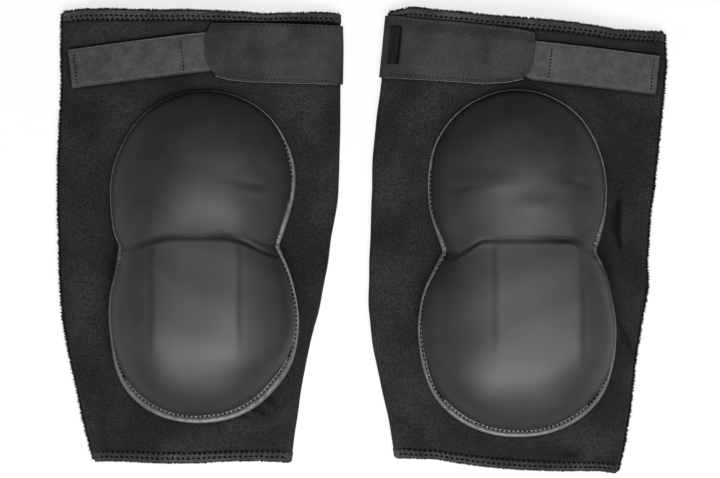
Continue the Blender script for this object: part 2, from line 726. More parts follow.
# %% Fuzz
def fringe(name, side, roots, outward, lengths, finish, seed):
    """A mesh of short bent tapers that start at roots and lean outward."""
    rng = np.random.default_rng(seed)
    n = len(roots)
    lean = unit(outward + rng.normal(0, 0.45, (n, 3)))
    bent = unit(lean + rng.normal(0, 0.5, (n, 3)))
    side_a = unit(np.cross(lean, rng.normal(0, 1, (n, 3))))
    side_b = np.cross(lean, side_a)
    long = (lengths * rng.uniform(0.6, 1.3, n))[:, None]
    wide = rng.uniform(0.16, 0.34, n)[:, None]
    rings = []
    for place, width in ((roots, 1.0), (roots + lean * long * 0.55, 0.8)):
        for turn in (0, math.tau / 3, 2 * math.tau / 3):
            rings.append(place + (side_a * math.cos(turn) + side_b * math.sin(turn)) * wide * width)
    tip = roots + lean * long * 0.55 + bent * long * 0.45
    points = np.stack(rings + [tip], 1)
    one = [(0, 1, 4, 3), (1, 2, 5, 4), (2, 0, 3, 5), (3, 4, 6), (4, 5, 6), (5, 3, 6), (2, 1, 0)]
    points[..., 2] = np.maximum(points[..., 2], 0.05)
    faces = [[i + 7 * k for i in f] for k in range(n) for f in one]
    return sew_on(make(name, side, points.reshape(-1, 3), faces, finish, False))


# The seam strip's ends as fractions of the sleeve, and the height of its middle
strip_ends, strip_middle = (0.004, 0.996), 3.2
# How many hairs there are, and how long they are: on the seam, and on the hems (top, bottom)
seam_hairs, seam_hair = 1500, 1.8
hem_hairs, hem_hair = 2600, (1.5, 1.1)
for side in (LEFT, RIGHT):
    rng = np.random.default_rng(11 + side)
    t = rng.uniform(*strip_ends, seam_hairs)
    x, y = sleeve_plan(side, t, 1.0)
    z = rng.uniform(0.6, 6.2, seam_hairs)
    roots = np.stack([x + 0.6 - np.abs(z - strip_middle) * 0.12, y, z], -1)
    out = np.tile((1.0, 0.0, 0.25), (seam_hairs, 1))
    fringe(f"{SIDES[side]}_seam_fuzz", side, roots, out, np.full(seam_hairs, seam_hair),
           pile_fibre, 21 + side)

    lower = rng.uniform(size=hem_hairs) < 0.42
    u = rng.uniform(-0.99, 0.99, hem_hairs)
    x, y = sleeve_plan(side, np.where(lower, 1.0, 0.0), u)
    top = front_top(side, x, y)
    z = top - rng.uniform(-0.1, 2.6, hem_hairs)
    out = np.stack([0 * u, np.where(lower, -1.0, 1.0), np.full(hem_hairs, 0.3)], -1)
    roots = np.stack([x, y - out[:, 1] * 0.3, z], -1)
    fringe(f"{SIDES[side]}_hem_fuzz", side, roots, out, np.where(lower, hem_hair[1], hem_hair[0]),
           pile_fibre, 31 + side)

# %% [markdown]
# ## The seam allowance
#
# The sleeve is closed down its outer side with an overlocked seam, whose cut edge stands out as a
# narrow fuzzy strip. It is a soft tube that follows the edge and wanders a little, and the fringe
# above grows from it.

# %% Seam strips
strip_rows, strip_sides = 340, 8
for side in (LEFT, RIGHT):
    t = np.linspace(*strip_ends, strip_rows)
    x, y = sleeve_plan(side, t, 1.0)
    k = np.arange(len(t))
    bulge = 0.85 + 0.22 * np.sin(k * 1.9) + 0.12 * np.sin(k * 0.61 + side)
    turn = full_turn(strip_sides)
    tall = 2.7 + 0.2 * np.sin(k * 1.3)
    loops = np.stack([x[:, None] + 0.35 + np.cos(turn) * bulge[:, None],
                      np.broadcast_to(y[:, None], (len(t), strip_sides)),
                      strip_middle + np.sin(turn) * tall[:, None]], -1)
    faces = cord_faces(len(t), strip_sides)
    strip = make(f"{SIDES[side]}_seam_strip", side, loops, faces, pile_fibre)
    sew_on(strip, replaces=[f"{SIDES[side]}_pile_edge"])

# %% [markdown]
# ## The shape of the pad
#
# The pad is a figure of two lobes. The upper one is a dome, and the lower one rises behind a
# step to a flatter crown with a middle panel between two soft creases. The same outline is
# drawn in for each layer: the skin, the foam under it and the backing cloth that closes it.

# %% Outline and height of the pad
upper_spine = ((-0.2, 16), (0, 17.4), (0.1, 19.2), (0.2, 21.1), (0.3, 22.4), (0.36, 22.3),
               (0.40, 21.8), (0.43, 22.0), (0.46, 22.6), (0.5, 22.6))
lower_spine = ((0.3, 22.0), (0.44, 23.3), (0.5, 24.4), (0.58, 25.3), (0.66, 25.9), (0.74, 26.0),
               (0.82, 25.5), (0.9, 23.4), (1.0, 20), (1.2, 14))
# The step runs straight between two corners and then bends down to the waist:
# (inner side, outer side) of the left pad, then of the right one.
step_flat, step_corner = ((20, 22), (24, 31)), ((41, 44), (40, 45))
step_drop, step_reach, step_soft = ((11.4, 7.5), (10.8, 11.6)), 0.16, (3.2, 1.2)
crease_ends, step_shift = ((1.3, 0.2), (0.9, 1.0)), (0, 1.8)
INNER, OUTER = 0, 1

# What each side of each pad adds to the even outline, read down its length
outline_rows = (
    (((0, 0.8), (0.06, 1.5), (0.12, 0), (0.24, -0.6), (0.3, -1.5), (0.42, -1.6), (0.48, -1.1),
      (0.54, 0), (0.66, -0.5), (0.78, -0.9), (0.84, -0.9), (0.9, -2.7), (0.95, -3.0), (1, -2.7)),
     ((0, -0.8), (0.06, 0), (0.12, -0.9), (0.18, -0.8), (0.24, 0.3), (0.3, 0.9), (0.36, 2.4),
      (0.39, 3.9), (0.42, 5.1), (0.45, 6.0), (0.48, 4.6), (0.51, 3.3), (0.54, 1.6), (0.6, 2.0),
      (0.66, 0.6), (0.72, -0.6), (0.78, -0.6), (0.84, 0.9), (0.9, 2.4), (0.95, 2.6), (1, 2.7))),
    (((0, 1.8), (0.06, 3.3), (0.17, 3.1), (0.23, 1.8), (0.29, 1.2), (0.38, 2.3), (0.43, 1.3),
      (0.47, 2.5), (0.52, 2.7), (0.56, 3.9), (0.6, 3.6), (0.66, 2.4), (0.72, 1.6), (0.81, 1.5),
      (0.87, 2.7), (0.93, 2.6), (1, 0.9)),
     ((0, -1.8), (0.06, -0.3), (0.15, -1.4), (0.29, -1.4), (0.36, 0.2), (0.43, 1.2), (0.47, 1.5),
      (0.52, 2.4), (0.56, 1.4), (0.6, 0.2), (0.7, -0.7), (0.8, -0.3), (0.87, 0.9), (0.93, 1.1),
      (1, -0.9))),
)


def pad_half(side, v):
    """Half the pad's width at fraction v of its length from the top."""
    v = np.clip(v, 0, 1)
    bend = lambda q: 1 - np.clip(q, 0, 1) ** 1.6
    upper, lower, waist = upper_half[side], lower_half[side], waist_half[side]
    head = upper * np.sqrt(np.clip(1 - (1 - v / upper_widest) ** 2, 0, 1))
    down = waist + (upper - waist) * bend((v - upper_widest) / (waist_at - upper_widest))
    up = waist + (lower - waist) * bend((lower_widest - v) / (lower_widest - waist_at))
    end = np.clip((v - lower_widest) / (1 - lower_widest), 0, 1)
    foot = lower * np.clip(1 - end ** 2.2, 0, 1) ** (1 / 2.2)
    return np.select([v < upper_widest, v < waist_at, v < lower_widest], [head, down, up], foot)


def spine(rows, v):
    """A table read with its corners rounded over."""
    read = table(rows)
    return sum(read(v + k) for k in (-0.03, -0.015, 0, 0.015, 0.03)) / 5


def step_near(v):
    """1 at the step between the lobes, falling to 0 away from it."""
    return np.maximum(0, 1 - np.abs(v - lobe_meet) / step_reach)


def step_bend(side, v, x):
    """How far a row bends down the sleeve at x, so that the step has its corners."""
    bend = 0
    for way, sign in ((INNER, -1), (OUTER, 1)):
        flat, corner = step_flat[side][way], step_corner[side][way]
        for off in np.array((-2, -1, 0, 1, 2)) * step_soft[side]:
            ramp = np.clip((sign * x + off - flat) / (corner - flat), 0, 1)
            bend = bend + step_drop[side][way] / 5 * ramp
    return bend * step_near(v)


def pad_edge(side, way, v):
    """Distance from the centre line to the edge of a row, and how far down the pad it ends."""
    q = v + step_near(v) * step_drop[side][way] / pad_length[side]
    return pad_half(side, q) + spine(outline_rows[side][way], q), q


def pad_plan(side, v, u, inset):
    """Plan point at fraction v down the pad and u across it, drawn in by the inset."""
    inner, outer = pad_edge(side, INNER, v)[0], pad_edge(side, OUTER, v)[0]
    x = (outer * (1 + u) - inner * (1 - u)) / 2 * (1 - inset / upper_half[side])
    y = pad_top[side] - inset - (pad_length[side] - 2 * inset) * v - step_bend(side, v, x)
    return x, y


def arch(side, x, y):
    """How high the sleeve's even arch stands at a plan point."""
    return arm_room * (1 - sleeve_u(side, x, y) ** 2)


def rounded_row(side, v, x):
    """The row that the lobes follow at x, which bends more softly than the step's corners."""
    soft_bend = 0
    for way, sign in ((INNER, -1), (OUTER, 1)):
        flat, corner = step_flat[side][way], step_corner[side][way]
        soft_bend = soft_bend + step_drop[side][way] * soft_step(flat - 16, corner + 8, sign * x)
    return v + (step_bend(side, v, x) - soft_bend * step_near(v)) / pad_length[side]


def lower_section(side, v, u, x, fade):
    """Across the lower lobe: a flat middle panel, and a side that falls from each crease."""
    inner, outer = pad_edge(side, INNER, v)[0], pad_edge(side, OUTER, v)[0]
    shift, half = middle_shift[side], middle_width / 2
    off = x - shift
    room = np.maximum(np.where(off > 0, outer - shift, inner + shift) - half, 6)
    beyond = np.abs(off) - half
    soft = 0.5 * (beyond + np.sqrt(beyond ** 2 + 9))
    crease = soft_step(lobe_meet - 0.02, lobe_meet + 0.02, v) * (1 - soft_step(0.66, 0.86, v))
    q = np.clip(soft / room, 0, 1)
    deep = np.where(off > 0, 0.014, 0.006)
    valley = 0.02 * soft_step(-2.2, 3.0, beyond) + deep * np.exp(-((beyond - 1.2) / 2.2) ** 2)
    sides = (1 - valley * crease - 0.25 * q) * np.sqrt(1 - q ** 4)
    plain = np.clip(1 - np.abs(u) ** 3.6, 0, 1) ** 0.5
    return sides * (1 - fade) + plain * fade


def panel_level(side, x, y):
    """What keeps the middle panel level, although the sleeve under it is arched."""
    shift, half = middle_shift[side], middle_width / 2
    near_x = shift + (half + 2) * np.tanh((x - shift) / (half + 2))
    return 0.6 * (arch(side, shift, y) - arch(side, near_x, y))


def pad_rise(side, v, u, x, y):
    """Height of the skin above the backing, before marks and creases."""
    even = rounded_row(side, v, x)
    fade = soft_step(0.7, 0.9, v)
    across = lower_section(side, v, u, x, fade)
    end = np.clip((v - lower_widest) / (1 - lower_widest), 0, 1)
    crown = spine(lower_spine, even) - 0.4 + panel_level(side, x, y) * (1 - fade)
    lower = crown * np.sqrt(1 - end ** 2.8) * across
    # towards the step the upper lobe takes the lower one's section, so that they meet evenly
    head = np.clip(1 - v / upper_widest, 0, 1)
    round_over = np.clip(1 - np.abs(u) ** 2.2, 0, 1) ** 0.58
    meet = 0.85 * soft_step(0.22, lobe_meet, v)
    section_here = round_over + (across - round_over) * meet
    upper = spine(upper_spine, even) * np.sqrt(1 - head ** 3) * section_here
    # a groove runs along the step, deeper or shallower at its two ends
    past = (v - lobe_meet) * pad_length[side] + step_shift[side]
    deep = np.where(x < 0, crease_ends[side][INNER], crease_ends[side][OUTER])
    fold = 0.15 + (deep - 0.15) * soft_step(12, 34, np.abs(x))
    return upper + (lower - upper) * soft_step(-3.0, 3.0, past) - fold * np.exp(-(past / 1.5) ** 2)


print("pad's widest halves", [round(float(pad_half(s, lower_widest)), 1) for s in (LEFT, RIGHT)])

# %% [markdown]
# ## The skin
#
# The skin is one fine sheet over both lobes with its real thickness, bent down to the rim all
# round. The marks of use on it are shallow dents and swells, all on the upper lobes, and on the
# right pad they follow an arc. They are added to the height, so that they show from any side.

# %% Pad covers
marks = (
    ((-29, 34, 9, 2.6, -0.5, 8), (-33, 29, 6, 3.0, 0.35, 5), (-46, 46, 16, 2.6, -0.5, 84),
     (-44, 20, 12, 2.6, -0.45, 105), (-47, 8, 9, 2.4, -0.6, 60), (40, 7, 9, 3, -0.5, -62)),
    ((-14, 34, 12, 6, 0.5, 0), (27, 34, 12, 6, 0.5, 0), (6, 30, 13, 8, -0.25, 0),
     (38, 34, 9, 2.2, -0.7, -16), (-37, 32, 9, 2.2, -0.55, 10), (7, 22, 10, 5, 0.3, 0),
     (-43, 7, 11, 2.4, -0.7, -30), (43, 10, 10, 2.5, -0.6, 38)),
)

# Radius of the piping's cord down each side of each pad, as (fraction, millimetres)
rim_rows = (
    (((-0.2, 0.35), (0.12, 0.35), (0.2, 0.8), (0.33, 1.3), (0.42, 1.7), (0.48, 1.3), (0.54, 0.8),
      (0.6, 0.5), (0.75, 0.6), (0.81, 1.1), (0.86, 1.8), (1.2, 1.8)),
     ((-0.2, 0.35), (0.3, 0.35), (0.42, 0.5), (0.46, 1.0), (0.49, 1.5), (0.54, 1.6), (0.57, 1.1),
      (0.62, 0.85), (0.75, 0.75), (0.85, 1.0), (0.92, 1.5), (1.2, 1.8))),
    (((-0.2, 0.5), (0.2, 0.5), (0.3, 0.4), (0.37, 0.5), (0.42, 1.5), (0.5, 1.6), (0.56, 0.9),
      (0.75, 0.7), (0.85, 0.9), (0.93, 1.4), (1.2, 1.6)),
     ((-0.2, 0.6), (0.2, 0.5), (0.26, 0.32), (0.35, 0.5), (0.42, 1.6), (0.475, 1.8), (0.51, 0.35),
      (0.54, 0.35), (0.6, 0.6), (0.75, 0.7), (0.85, 0.9), (0.93, 1.3), (1.2, 1.6))),
)
# Room between the cord and the skin, where the stitches show
room_rows = (
    (((-0.2, 0.1), (0.12, 0.2), (0.18, 0.9), (0.45, 0.9), (0.5, 0.6), (0.58, 1.1), (1.2, 1.1)),
     ((-0.2, 0.1), (0.5, 0.2), (0.74, 0.2), (0.8, 1.0), (1.2, 1.1))),
    (((-0.2, 0.1), (0.2, 0.2), (0.25, 0.9), (0.4, 0.9), (0.5, 0.4), (0.7, 0.4), (0.76, 1.0),
      (1.2, 1.1)),
     ((-0.2, 0.1), (0.36, 0.1), (0.4, 0.9), (0.46, 0.8), (0.5, 0.1), (0.82, 0.2), (0.88, 1.0),
      (1.2, 1.1))),
)


def rim_at(rows, side, v, u):
    """One of the rim's tables, from its inner side's value at u = -1 to its outer side's at 1."""
    inner, outer = (spine(rows[side][way], pad_edge(side, way, v)[1]) for way in (INNER, OUTER))
    return inner + (outer - inner) * (1 + u) / 2


def spread(count, power):
    """Fractions from 0 to 1 that crowd towards both ends."""
    f = np.linspace(0, 1, count)
    return (1 - power) * f + power * (1 - np.cos(math.pi * f)) / 2


def pad_grid(rows, columns):
    """Fractions down the pad and across it that crowd towards its rim."""
    return spread(rows, 0.85), (2 * spread(columns, 0.8) - 1)[None, :]


# Rows and columns of each layer's grid, and where more rows are put in for the step
skin_grid, foam_grid, lining_grid, step_rows = (210, 130), (90, 48), (60, 24), (0.41, 0.465)


def pad_surface(side, size, inset, drop, base):
    """A grid over the pad. It is lowered by drop, and its border lies at base above the sleeve."""
    v, u = pad_grid(*size)
    v = np.sort(np.concatenate([v, np.linspace(*step_rows, size[0] // 6)]))[:, None]
    own = inset + 2 * rim_at(rim_rows, side, v, u) + rim_at(room_rows, side, v, u)
    x, y = pad_plan(side, v, u, own)
    bed = pad_bed(side, x, y) + layer_gap
    rise = pad_rise(side, v, u, x, y) + bump_sum(marks[side], x, y) * (1 - np.abs(u) ** 6) - drop
    rise = np.maximum(rise, 0.2)
    for edge in (np.s_[0, :], np.s_[-1, :], np.s_[:, 0], np.s_[:, -1]):
        rise[edge] = 0
    return np.stack([x, y, bed + base + rise], -1)


def shell(name, side, upper, lower, finish):
    """A closed piece between an upper and a lower grid of the same size."""
    rows, columns, _ = upper.shape
    count = rows * columns
    border = list(range(columns)) + [i * columns + columns - 1 for i in range(1, rows)] \
        + [(rows - 1) * columns + j for j in range(columns - 2, -1, -1)] \
        + [i * columns for i in range(rows - 2, 0, -1)]
    faces = grid_faces(rows, columns).tolist()
    faces += (grid_faces(rows, columns)[:, ::-1] + count).tolist()
    faces += [[b, a, a + count, b + count] for a, b in zip(border, border[1:] + border[:1])]
    points = np.concatenate([upper.reshape(-1, 3), lower.reshape(-1, 3)])
    return make(name, side, points, faces, finish)


for side in (LEFT, RIGHT):
    outer = pad_surface(side, skin_grid, 0.0, 0.0, backing + 0.5)
    inner = pad_surface(side, skin_grid, skin, skin, backing + 0.3)
    cover = shell(f"{SIDES[side]}_pad_skin", side, outer, inner, coated_skin)
    sew_on(cover, replaces=[f"{SIDES[side]}_pad_cover"])

# %% [markdown]
# ## Foam and backing
#
# Under the skin lie two blocks of closed-cell foam, one to a lobe, and a lining cloth that closes
# the pad against the sleeve. Nothing of them shows, so they follow the skin with fewer points.

# %% Foam blocks and backing cloth
# Rows of the grid where the upper block ends and the lower one starts, and the lining's inset
upper_end, lower_start, lining_inset = 40, 58, 2.6


def foam_block(side, upper):
    """A crowned block that fills the skin over one lobe."""
    whole = pad_surface(side, foam_grid, skin + 0.9, skin + 0.4, backing + 0.7)
    grid = whole[:upper_end] if upper else whole[lower_start:]
    below = grid.copy()
    below[..., 2] = pad_bed(side, grid[..., 0], grid[..., 1]) + layer_gap + backing + 0.4
    grid[..., 2] = np.maximum(grid[..., 2], below[..., 2] + 0.2)
    return grid, below


for side in (LEFT, RIGHT):
    for lobe in ("upper", "lower"):
        block = shell(f"{SIDES[side]}_{lobe}_foam_block", side,
                      *foam_block(side, lobe == "upper"), pad_foam)
        sew_on(block, replaces=[f"{SIDES[side]}_{lobe}_foam"])
    v, u = pad_grid(*lining_grid)
    x, y = pad_plan(side, v[:, None], u, lining_inset)
    bed = pad_bed(side, x, y) + layer_gap
    cloth = shell(f"{SIDES[side]}_pad_lining", side, np.stack([x, y, bed + backing], -1),
                  np.stack([x, y, bed], -1), backing_cloth)
    sew_on(cloth, replaces=[f"{SIDES[side]}_pad_backing"])

# %% [markdown]
# ## The piping
#
# The pad's edge is bound with a coated strip folded over a cord and sewn through. The cord shows
# as a round glossy bead, which is thickest at the foot of the pad, where it faces the viewer, and
# half hidden under the upper lobe. At the waist the strip has to turn the other way, so it is
# crowded there and puckers. A row of stitches runs in the groove between the bead and the skin.

# %% Edge of the pad
def rim_path(side, spacing=0.6):
    """The pad's outline as evenly spaced points, with v and u at each of them."""
    v = spread(900, 0.9)
    outer, inner = pad_plan(side, v, 1.0, 0.0), pad_plan(side, v, -1.0, 0.0)
    down_and_up = lambda down, up: np.concatenate([down, up[::-1][1:-1]])
    track = np.stack([down_and_up(outer[0], inner[0]), down_and_up(outer[1], inner[1]),
                      down_and_up(v, v), down_and_up(np.ones_like(v), -np.ones_like(v))], -1)
    track = np.concatenate([track, track[:1]])
    total = np.concatenate([[0], np.cumsum(np.hypot(*np.diff(track[:, :2], axis=0).T))])
    at = np.arange(0, total[-1], spacing)
    even = np.stack([np.interp(at, total, track[:, k]) for k in range(4)], -1)
    for _ in range(6):
        before, after = np.roll(even[:, :2], 1, 0), np.roll(even[:, :2], -1, 0)
        even[:, :2] = (before + 2 * even[:, :2] + after) / 4
    return even[:, :2], even[:, 2], even[:, 3], at


# Where the piping is crowded at the waist, and how deep it puckers there
pucker_at = (((0.47, 0.08), (0.535, 0.3)), ((0.49, 0.2), (0.45, 0.3)))
pucker_reach = 0.028
rim_pitch, rim_thread, least_room = 2.7, (1.9, 0.85), 0.35


def rim_inward(path):
    """The inward direction at each point of the outline."""
    ahead = unit(np.roll(path, -1, 0) - np.roll(path, 1, 0))
    return np.stack([ahead[:, 1], -ahead[:, 0]], -1)


for side in (LEFT, RIGHT):
    path, v, u, at = rim_path(side)
    inward = rim_inward(path)
    r = rim_at(rim_rows, side, v, u)
    pucker = 0
    for way, here in ((INNER, u < 0), (OUTER, u > 0)):
        middle, deep = pucker_at[side][way]
        crowded = here * np.exp(-((pad_edge(side, way, v)[1] - middle) / pucker_reach) ** 2)
        pucker = pucker + deep * crowded * (np.sin(at * 2.1 + side) + 0.8 * np.sin(at * 3.3 + 1))
    worn = 0.04 * np.sin(at * 0.3) + 0.02 * np.sin(at * 0.9 + 1)
    r = r * (1 + pucker + worn)
    room = rim_at(room_rows, side, v, u)
    profile = []
    for a in np.radians([-125, -160, 170, 150, 130, 110, 92, 75, 58, 42]):
        c, n = math.cos(a), math.sin(a)
        # a cord that is pressed flat a little: rounder than a box, flatter than a circle
        c, n = math.copysign(abs(c) ** 0.75, c), math.copysign(abs(n) ** 0.8, n)
        profile.append((r + r * c, 0.9 * r + 0.05 + 0.85 * r * n))
    # the flat of the strip runs from the cord over the stitches and 1.2 mm under the skin
    strip, under_skin = 1.05 * r + 0.1, 2 * r + room + 1.2
    profile += [(2 * r - 0.05, strip - 0.1), (2 * r + room * 0.5, strip),
                (2 * r + room, strip + 0.05), (under_skin, strip),
                (under_skin, 0.4), (2 * r, 0.1)]
    loops = []
    for inset, height in profile:
        p = path + inward * inset[:, None]
        z = pad_bed(side, p[:, 0], p[:, 1]) + layer_gap + height
        loops.append(np.column_stack([p, z]))
    loops = np.array(loops).transpose(1, 0, 2)
    piping = make(f"{SIDES[side]}_pad_piping", side, loops,
                  grid_faces(len(loops), loops.shape[1], True, True), glossy_piping)
    sew_on(piping, replaces=[f"{SIDES[side]}_edge_binding"])

    groove = path + inward * (2 * r + room * 0.55)[:, None]
    lift = pad_bed(side, groove[:, 0], groove[:, 1]) + layer_gap + 1.05 * r + 0.3
    places, headings = along_path(np.column_stack([groove, lift]), rim_pitch)
    run = np.concatenate([[0], np.cumsum(np.linalg.norm(np.diff(groove, axis=0), axis=1))])
    shown = np.interp((np.arange(len(places)) + 0.5) * rim_pitch, run, room) > least_room
    stitches(f"{SIDES[side]}_rim_stitches", side, places[shown], headings[shown], *rim_thread,
             dark_thread, "edge_piping")

# %% [markdown]
# ## The strap's tunnel
#
# A band of smooth knit lies across the upper arm, from the sleeve's inner edge to a mouth near
# its middle, and the strap comes out of that mouth. It is turned over the inner edge of the
# sleeve, hemmed there with the seam, and cut raw along its lower edge, which shows as a thin
# pale line. Over the strap's tail and its elastic the band stands up in a low soft ridge.

# %% Tunnel bands
band_thick, tunnel_width = 1.2, 35
# Where the mouth's edge lies outward of the centre line, at six places from its top to its bottom
mouth_line = ((-4.3, -1.6, -0.6, -1.0, -2.2, -6.9), (8.9, 9.0, 8.6, 7.8, 6.4, 2.0))
band_upper = (
    ((-90, 129.6), (-60, 130.2), (-30, 130.6), (-4, 130.4), (10, 129.6)),
    ((-90, 136.6), (-75, 135.9), (-50, 132.6), (-26, 130.2), (0, 127.0), (9, 124.9)),
)
band_lower = (
    ((-90, 94.6), (-60, 94.9), (-28, 95.6), (-15, 96.8), (-7, 99.0), (0, 100)),
    ((-90, 99.4), (-82, 98.9), (-47, 96.4), (-22, 94.4), (-8, 95.2), (2, 97.0)),
)


# The band stands this high over the tail and the elastic, level this far to each side of the
# strap's middle, and is down on the sleeve again this far out
tail_ridge, elastic_ridge, ridge_level, ridge_foot = 2.3, 2.1, 9.3, 17.4


def strap_plan(side, s, w):
    """Plan point at s along the strap from its mouth and w across it."""
    c, n = cos_sin(strap_slope[side])
    return mouth[side][0] + s * c + w * n, mouth[side][1] + w * c - s * n


def strap_place(side, x, y):
    """The same turned round: how far along and across the strap a plan point lies."""
    c, n = cos_sin(strap_slope[side])
    dx, dy = x - mouth[side][0], y - mouth[side][1]
    return dx * c - dy * n, dx * n + dy * c


def band_under(side, x, y):
    """Height of the band's underside: on the sleeve, and over the tail and the elastic."""
    ground = front_top(side, x, y) + layer_gap
    s, w = strap_place(side, x, y)
    u = sleeve_u(side, x, y)
    over_tail = np.maximum(tail_z + tail_thick + 0.3 - ground, tail_ridge)
    over_elastic = elastic_ridge * (1 - soft_step(0.93, 0.99, np.abs(u)))
    at_tail = soft_step(-tail_back - 9, -tail_back - 2, s)
    height = over_elastic + (over_tail - over_elastic) * at_tail
    return ground + height * (1 - soft_step(ridge_level, ridge_foot, np.abs(w)))


def band_grid(side, out, columns=110, rows=60):
    """Points of the band from its mouth to past the inner edge, moved out by some millimetres."""
    b = np.linspace(0, 1, rows)
    mouth_x = np.interp(b, np.linspace(0, 1, len(mouth_line[side])), mouth_line[side])
    grid = []
    for k, row in enumerate(b):
        edge_t = (hem_depth + 0.8 + row * tunnel_width) / sleeve_length
        edge_x = float(sleeve_plan(side, edge_t, -1.0)[0])
        top_x = np.linspace(mouth_x[k], edge_x + edge_round, columns)
        turn = np.radians(np.linspace(90, 250, 14)[1:])
        swing = edge_round + 0.25 + out
        x = np.concatenate([top_x, edge_x + edge_round + swing * np.cos(turn)])
        y = table(band_upper[side])(x) * (1 - row) + table(band_lower[side])(x) * row
        z = np.concatenate([band_under(side, top_x, y[:columns]) + out,
                            np.zeros(len(turn))])
        last = z[columns - 1]
        low = 0.2
        z[columns:] = np.maximum(low, (last + low) / 2 + (last - low) / 2 * np.sin(turn))
        grid.append(np.stack([x, y, z], -1))
    return np.array(grid)


bands = []
for side in (LEFT, RIGHT):
    upper, lower = band_grid(side, band_thick), band_grid(side, 0.0)
    band = shell(f"{SIDES[side]}_tunnel_band", side, upper[:, ::-1], lower[:, ::-1], tunnel_knit)
    sew_on(band, replaces=[f"{SIDES[side]}_strap_tunnel"])
    bands.append(upper)

# %% [markdown]
# The raw lower edge of the band is where the knit's pale core shows, with the overlock thread on
# it. It is drawn as a thin uneven cord along the edge, with a row of small stitches above it.
# Another row follows the band's upper edge.

# %% Raw edges of the bands
def thin_cord(name, side, line, radius, finish, seed, around=6):
    """A thin uneven cord along a line of points."""
    rng = np.random.default_rng(seed)
    line = np.asarray(line, float)
    wobble = radius * (1 + 0.25 * rng.normal(size=len(line)))
    turn = full_turn(around)
    ahead = unit(np.gradient(line, axis=0))
    across = unit(np.cross((0, 0, 1.0), ahead))
    up = np.cross(ahead, across)
    loops = line[:, None] + wobble[:, None, None] * (
        across[:, None] * np.cos(turn)[:, None] + up[:, None] * np.sin(turn)[:, None])
    return sew_on(make(name, side, loops, cord_faces(len(line), around), finish))


# How many of the band's columns, from the mouth on, the raw edge and each row of stitches follow
edge_columns, lower_columns, upper_columns = 112, 108, 104
for side in (LEFT, RIGHT):
    edge = bands[side][-1][:edge_columns] - (0, 0, band_thick * 0.4)
    fine = np.concatenate([edge[:-1] + (edge[1:] - edge[:-1]) * f for f in (0, 0.5)])
    fine = fine[np.argsort(-fine[:, 0])]
    thin_cord(f"{SIDES[side]}_band_raw_edge", side, fine, 0.42, grey_thread,
              41 + side)
    upper_thread = grey_thread if side == RIGHT else dark_thread
    for which, seam, pitch, thread, finish in (
            ("lower", bands[side][-4][:lower_columns], 2.6, (1.1, 0.5), dark_thread),
            ("upper", bands[side][2][:upper_columns], 2.8, (1.2, 0.5), upper_thread)):
        places, headings = along_path(seam + (0, 0, 0.05), pitch)
        stitches(f"{SIDES[side]}_band_{which}_stitches", side, places, headings, *thread,
                 finish, "tunnel_knit")

# %% [markdown]
# ## Strap and elastic
#
# The strap is one length of webbing. Its tail lies in the tunnel, sewn to an elastic that pulls
# it back, and its tab lies outside, held to the sleeve by the hook tape under it. The tail
# slides with the pull and the tab turns when it is peeled, so the webbing blends from one body to
# the other over a few millimetres at the mouth, as the real strap bends there.

# %% Webbing
# The webbing comes down from the tail's level to the sleeve between these two places along the
# strap, and bends between the other two when the tab is peeled
come_down, bend_span = (0.5, 8), (3.6, 8.0)


def strap_base(side, s, w):
    """Height of the webbing's underside along the strap."""
    x, y = strap_plan(side, s, w)
    away = np.clip((s - hinge_at) / (hook_start - hinge_at), 0, 1)
    outside = front_top(side, x, y) + layer_gap + away * (hook_thick + 0.1)
    return tail_z + (outside - tail_z) * soft_step(*come_down, s)


def strap_body(name, side, stations, halves, thick, lift, finish, rows=17):
    """A closed strip along the strap with rounded selvedges."""
    w = np.linspace(-1, 1, rows)[:, None]
    s, half = stations[None, :], halves[None, :]
    x, y = strap_plan(side, s, w * half)
    base = strap_base(side, s, w * half) + lift
    worn = 0.10 * np.sin(s / 9.0 + 2 * side) * np.sin(w * 2.2 + s / 23)
    pinch = 0.35 * np.clip((np.abs(w) - 0.9) / 0.1, 0, 1) * thick
    upper = np.stack([x, y, base + thick + worn - pinch], -1)
    lower = np.stack([x, y, base + 0.2 * pinch], -1)
    return shell(name, side, upper[::-1], lower[::-1], finish)


for side in (LEFT, RIGHT):
    pad = SIDES[side]
    end = hinge_at + tab_length[side]
    stations = np.concatenate([np.linspace(-tail_back, 0, 16)[:-1], np.linspace(0, 9, 24)[:-1],
                               np.linspace(9, end, 80)])
    halves = tail_width / 2 + (tab_width - tail_width) / 2 * soft_step(-7, 1, stations)
    strap = strap_body(f"{pad}_strap_webbing", side, stations, halves, tab_thick, 0.0, webbing)
    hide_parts(f"{pad}_strap_tail", f"{pad}_strap_tab")
    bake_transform(strap)
    print(strap.name, "bends at the mouth,", len(strap.data.polygons), "faces")

# %% [markdown]
# The tab is sewn round its border, with a row of stitches across each end where the hook tape
# begins and stops. Each stitch sits in the top of the webbing.

